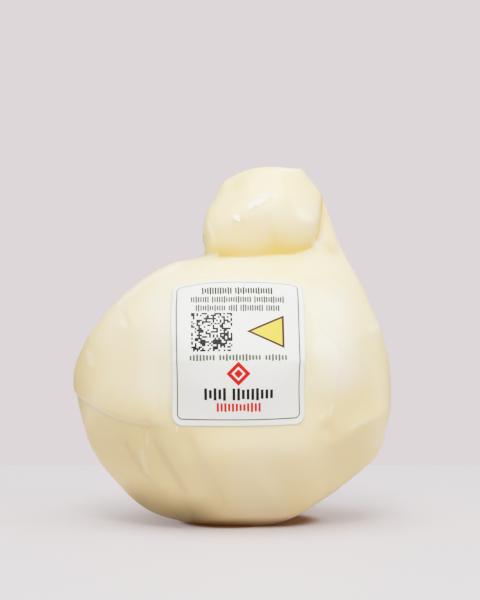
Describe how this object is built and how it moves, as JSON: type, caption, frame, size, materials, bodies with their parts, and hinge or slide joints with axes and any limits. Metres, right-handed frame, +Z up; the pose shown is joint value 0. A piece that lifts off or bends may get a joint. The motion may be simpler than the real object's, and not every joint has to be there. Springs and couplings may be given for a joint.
{
  "type": "film-packed provola cheese",
  "caption": "Pear-shaped stretched-curd cheese with a round belly and a small folded head, drawn tight in clear film, with a paper label on its front.",
  "frame": {"origin": "middle of the bottom of the bounding box, on the surface that the cheese stands on", "axes": "+Z up through the head, -Y out of the front that carries the label, +X to the side that the head leans to"},
  "size_m": [0.1364, 0.126, 0.1508],
  "materials": {
    "curd": "smooth cream-coloured cheese under tight clear film, softly glossy",
    "label_paper": "white semi-gloss paper with abstract print"
  },
  "bodies": {
    "root": {"provola": "curd", "label": "label_paper"}
  },
  "joints": []
}
